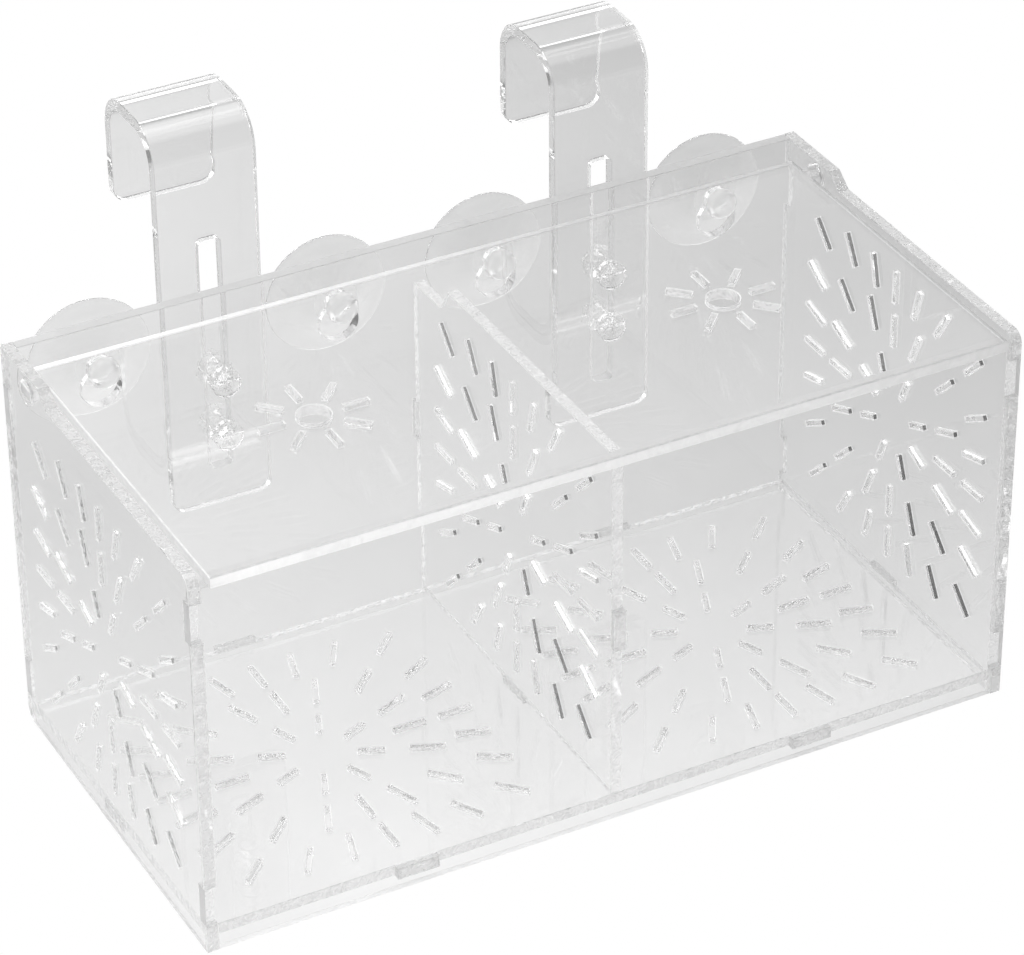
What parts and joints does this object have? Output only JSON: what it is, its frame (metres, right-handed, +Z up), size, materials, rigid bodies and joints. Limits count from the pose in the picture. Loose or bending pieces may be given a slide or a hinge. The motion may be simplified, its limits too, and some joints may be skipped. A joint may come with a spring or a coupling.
{
  "type": "fish breeding box",
  "caption": "Clear acrylic two-room breeding box that hooks inside an aquarium rim, with slotted walls, a hinged lid with feeding vents, height-setting hangers and suction cups.",
  "frame": {"origin": "middle of the bottom of the whole object's bounding box, on the plane that the panels' lower edges stand on", "axes": "+X along the front to the right, +Y from the front panel to the tank wall behind the back panel, +Z up"},
  "size_m": [0.2, 0.125, 0.1404],
  "materials": {
    "clear_acrylic": "clear cast sheet, polished faces, laser-cut edges",
    "soft_pvc": "clear soft moulded PVC, glossy",
    "clear_nylon": "clear moulded plastic"
  },
  "bodies": {
    "box": {"left_side_panel": "clear_acrylic", "right_side_panel": "clear_acrylic", "front_panel": "clear_acrylic", "back_panel": "clear_acrylic", "floor_panel": "clear_acrylic", "divider_panel": "clear_acrylic", "left_upper_screw": "clear_nylon", "left_lower_screw": "clear_nylon", "right_upper_screw": "clear_nylon", "right_lower_screw": "clear_nylon", "left_upper_nut": "clear_nylon", "left_lower_nut": "clear_nylon", "right_upper_nut": "clear_nylon", "right_lower_nut": "clear_nylon"},
    "lid": {"lid": "clear_acrylic"},
    "left_hanger": {"left_hanger": "clear_acrylic"},
    "right_hanger": {"right_hanger": "clear_acrylic"},
    "outer_left_cup": {"outer_left_suction_cup": "soft_pvc"},
    "inner_left_cup": {"inner_left_suction_cup": "soft_pvc"},
    "inner_right_cup": {"inner_right_suction_cup": "soft_pvc"},
    "outer_right_cup": {"outer_right_suction_cup": "soft_pvc"}
  },
  "joints": [
    {"name": "lid_hinge", "type": "hinge", "parent": "box", "child": "lid", "pos_m": [0, 0.0224, 0.0946], "axis": [-1, 0, 0], "range_deg": [0, 100]},
    {"name": "left_hanger_slide", "type": "slide", "parent": "box", "child": "left_hanger", "axis": [0, 0, 1], "range_m": [-0.0337, 0.0073]},
    {"name": "right_hanger_slide", "type": "slide", "parent": "box", "child": "right_hanger", "axis": [0, 0, 1], "range_m": [-0.0274, 0.0136]},
    {"name": "outer_left_cup_turn", "type": "hinge", "parent": "box", "child": "outer_left_cup", "pos_m": [-0.078, 0.036, 0.0864], "axis": [0, 1, 0], "continuous": true},
    {"name": "inner_left_cup_turn", "type": "hinge", "parent": "box", "child": "inner_left_cup", "pos_m": [-0.02, 0.036, 0.0864], "axis": [0, 1, 0], "continuous": true},
    {"name": "inner_right_cup_turn", "type": "hinge", "parent": "box", "child": "inner_right_cup", "pos_m": [0.02, 0.036, 0.0864], "axis": [0, 1, 0], "continuous": true},
    {"name": "outer_right_cup_turn", "type": "hinge", "parent": "box", "child": "outer_right_cup", "pos_m": [0.078, 0.036, 0.0864], "axis": [0, 1, 0], "continuous": true}
  ]
}
